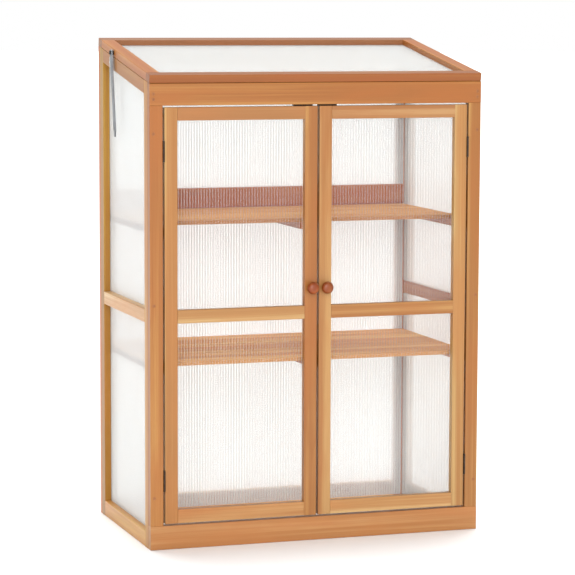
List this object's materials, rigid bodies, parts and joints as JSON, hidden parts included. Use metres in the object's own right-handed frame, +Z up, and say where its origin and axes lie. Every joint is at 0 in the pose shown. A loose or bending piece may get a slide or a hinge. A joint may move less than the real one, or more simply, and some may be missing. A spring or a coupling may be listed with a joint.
{
  "type": "greenhouse cabinet",
  "caption": "Free-standing timber greenhouse cabinet with glazed double doors, slatted shelves and a sloping hinged lid held open by a steel stay.",
  "frame": {"origin": "on the floor under the centre of the whole object's box", "axes": "+Z up, -Y to the doors, +X to the right seen from the front"},
  "size_m": [0.7693, 0.4683, 1.0976],
  "materials": {
    "frame_wood": "oiled softwood, satin",
    "shelf_wood": "oiled softwood, satin",
    "knob_wood": "turned hardwood, satin",
    "polycarbonate": "clear twin-wall sheet",
    "dark_steel": "dark bronze",
    "zinc_steel": "zinc plated",
    "screw_brass": "dulled",
    "catch_plastic": "brown moulding"
  },
  "bodies": {
    "cabinet": {"front_base_rail": "frame_wood", "front_top_rail": "frame_wood", "left_front_post": "frame_wood", "right_front_post": "frame_wood", "left_side_front_stile": "frame_wood", "left_side_rear_stile": "frame_wood", "left_side_bottom_rail": "frame_wood", "left_side_mid_rail": "frame_wood", "left_side_top_rail": "frame_wood", "right_side_front_stile": "frame_wood", "right_side_rear_stile": "frame_wood", "right_side_bottom_rail": "frame_wood", "right_side_mid_rail": "frame_wood", "right_side_top_rail": "frame_wood", "back_left_stile": "frame_wood", "back_right_stile": "frame_wood", "back_bottom_rail": "frame_wood", "back_mid_rail": "frame_wood", "back_top_rail": "frame_wood", "upper_shelf_cleats": "frame_wood", "lower_shelf_cleats": "frame_wood", "left_side_glazing": "polycarbonate", "right_side_glazing": "polycarbonate", "back_glazing": "polycarbonate", "frame_screws": "screw_brass", "door_catches": "catch_plastic", "door_hinge_frame_leaves": "dark_steel", "lid_hinge_frame_leaves": "dark_steel", "hinge_pins": "dark_steel", "stay_keeper": "zinc_steel"},
    "left_door": {"left_door_hinge_stile": "frame_wood", "left_door_meeting_stile": "frame_wood", "left_door_bottom_rail": "frame_wood", "left_door_top_rail": "frame_wood", "left_door_mid_rail": "frame_wood", "left_door_glazing": "polycarbonate", "left_door_knob": "knob_wood", "left_door_strike_plate": "zinc_steel", "left_door_hinge_leaves": "dark_steel"},
    "right_door": {"right_door_hinge_stile": "frame_wood", "right_door_meeting_stile": "frame_wood", "right_door_bottom_rail": "frame_wood", "right_door_top_rail": "frame_wood", "right_door_mid_rail": "frame_wood", "right_door_glazing": "polycarbonate", "right_door_knob": "knob_wood", "right_door_strike_plate": "zinc_steel", "right_door_hinge_leaves": "dark_steel"},
    "lid": {"lid_front_rail": "frame_wood", "lid_rear_rail": "frame_wood", "lid_left_rail": "frame_wood", "lid_right_rail": "frame_wood", "lid_glazing": "polycarbonate", "lid_hinge_lid_leaves": "dark_steel", "stay_pivot_screw": "dark_steel"},
    "stay": {"stay_arm": "zinc_steel"},
    "upper_shelf": {"upper_shelf_slats": "shelf_wood", "upper_shelf_batten": "shelf_wood"},
    "lower_shelf": {"lower_shelf_slats": "shelf_wood", "lower_shelf_batten": "shelf_wood"}
  },
  "joints": [
    {"name": "left_door_hinge", "type": "hinge", "parent": "cabinet", "child": "left_door", "pos_m": [-0.349, -0.2108, 0.5], "axis": [0, 0, -1], "range_deg": [0, 170]},
    {"name": "right_door_hinge", "type": "hinge", "parent": "cabinet", "child": "right_door", "pos_m": [0.349, -0.2108, 0.5], "axis": [0, 0, 1], "range_deg": [0, 170]},
    {"name": "lid_hinge", "type": "hinge", "parent": "cabinet", "child": "lid", "pos_m": [0, 0.2314, 1.0804], "axis": [-1, 0, 0], "range_deg": [0, 95]},
    {"name": "stay_pivot", "type": "hinge", "parent": "lid", "child": "stay", "pos_m": [-0.3853, 0.0925, 1.0666], "axis": [1, 0, 0], "range_deg": [-95, 95]},
    {"name": "upper_shelf_lift", "type": "slide", "parent": "cabinet", "child": "upper_shelf", "axis": [0, 0, 1], "range_m": [0, 0.06]},
    {"name": "lower_shelf_lift", "type": "slide", "parent": "cabinet", "child": "lower_shelf", "axis": [0, 0, 1], "range_m": [0, 0.06]}
  ]
}
